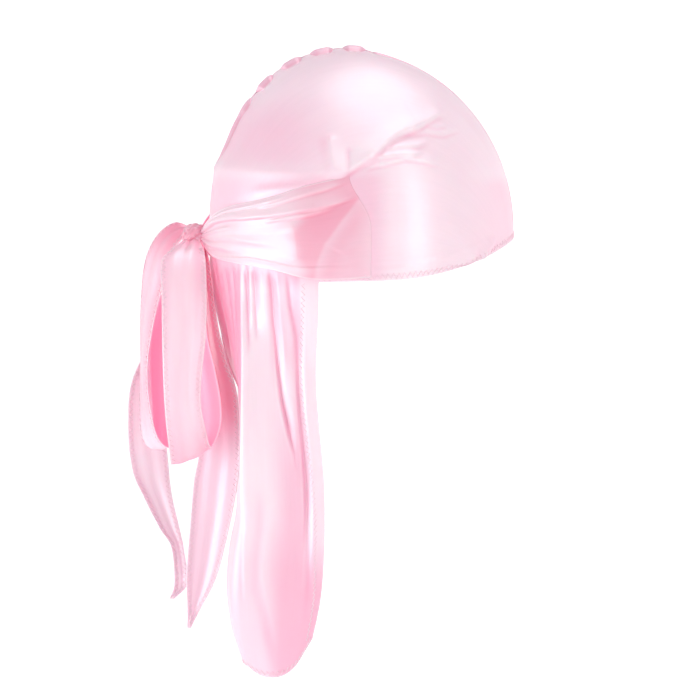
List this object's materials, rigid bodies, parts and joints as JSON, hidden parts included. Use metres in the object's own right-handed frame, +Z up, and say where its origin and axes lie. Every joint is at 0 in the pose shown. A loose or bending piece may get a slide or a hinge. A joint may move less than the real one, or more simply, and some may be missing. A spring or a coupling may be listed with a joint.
{
  "type": "durag",
  "caption": "Satin durag as worn: close crown with a standing ruffled middle seam, ties wrapped round the head to a small bow behind, and a long tail hanging over the neck.",
  "frame": {"origin": "middle of the head opening, level with the lower edge over the ears, where the head fills it", "axes": "+Z up along the worn head, -Y towards the forehead, +Y towards the knot, +X towards the wearer's left"},
  "size_m": [0.1594, 0.2532, 0.41],
  "materials": {
    "satin_panel": "pale pink satin weave, smooth and glossy",
    "satin_seam": "pale pink satin, folded and overlocked",
    "satin_tie": "pale pink satin weave, thin and glossy"
  },
  "bodies": {
    "root": {"panel_right": "satin_panel", "panel_left": "satin_panel", "centre_seam": "satin_seam", "tie_wrap_right": "satin_tie", "tie_wrap_left": "satin_tie", "knot": "satin_tie", "loop_right": "satin_tie", "loop_left": "satin_tie", "tie_end_right": "satin_tie", "tie_end_left": "satin_tie"}
  },
  "joints": []
}
